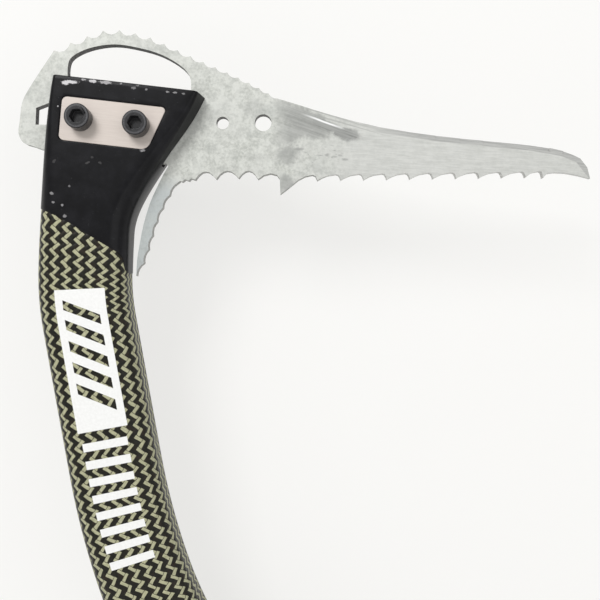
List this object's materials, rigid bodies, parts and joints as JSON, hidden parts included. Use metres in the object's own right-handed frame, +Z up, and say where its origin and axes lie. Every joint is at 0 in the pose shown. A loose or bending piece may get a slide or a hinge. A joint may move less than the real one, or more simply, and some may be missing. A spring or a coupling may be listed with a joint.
{
  "type": "technical ice axe",
  "caption": "Technical ice axe: toothed steel pick plate bolted in a black slotted head, curved woven composite shaft, adjustable finger rest, ribbed grip, grip rest and spike with a leash eye.",
  "frame": {"origin": "centre of the leash eye in the spike plate, on the mid-plane", "axes": "+Z up the tool towards the head, +X towards the tip of the pick, +Y to the side that carries the pick's nuts"},
  "size_m": [0.239, 0.0378, 0.469],
  "materials": {
    "steel_plate": "zinc-grey steel plate with a ground blade root",
    "black_shell": "black paint over a moulded shell, chipped along its edges",
    "insert_alloy": "plain machined",
    "bearing_plate": "light warm satin",
    "black_steel": "black oxide",
    "zinc_steel": "zinc plated",
    "woven_composite": "clear resin over dark and pale yellow woven fibre",
    "white_film": "satin white",
    "grip_rubber": "matt ribbed rubber",
    "black_nylon": "fine-grained moulded nylon",
    "anodised": "grey anodised"
  },
  "bodies": {
    "tool": {"pick": "steel_plate", "head_shell": "black_shell", "head_insert": "insert_alloy", "side_plate_near": "bearing_plate", "side_plate_far": "bearing_plate", "pick_bolts": "black_steel", "nut_washers": "zinc_steel", "pick_nuts": "black_steel", "shaft_tube": "woven_composite", "shaft_mark": "white_film", "grip_sleeve": "grip_rubber", "grip_collar": "anodised", "pommel_screws": "zinc_steel", "handle_insert": "insert_alloy", "spike": "steel_plate", "spike_pins": "zinc_steel"},
    "finger_rest": {"rest_band": "black_nylon", "rest_liner": "grip_rubber", "rest_nut": "zinc_steel"},
    "clamp_screw": {"rest_screw": "zinc_steel"},
    "grip_rest": {"pommel": "black_nylon", "pommel_pad": "grip_rubber"}
  },
  "joints": [
    {"name": "rest_slide", "type": "slide", "parent": "tool", "child": "finger_rest", "axis": [-0.6018, 0, 0.7986], "range_m": [-0.0125, 0.018]},
    {"name": "rest_screw_turn", "type": "hinge", "parent": "finger_rest", "child": "clamp_screw", "pos_m": [-0.13067, 0, 0.13818], "axis": [0, 1, 0], "range_deg": [-720, 0]},
    {"name": "pommel_slide", "type": "slide", "parent": "tool", "child": "grip_rest", "axis": [-0.6018, 0, 0.7986], "range_m": [0, 0.014]}
  ]
}
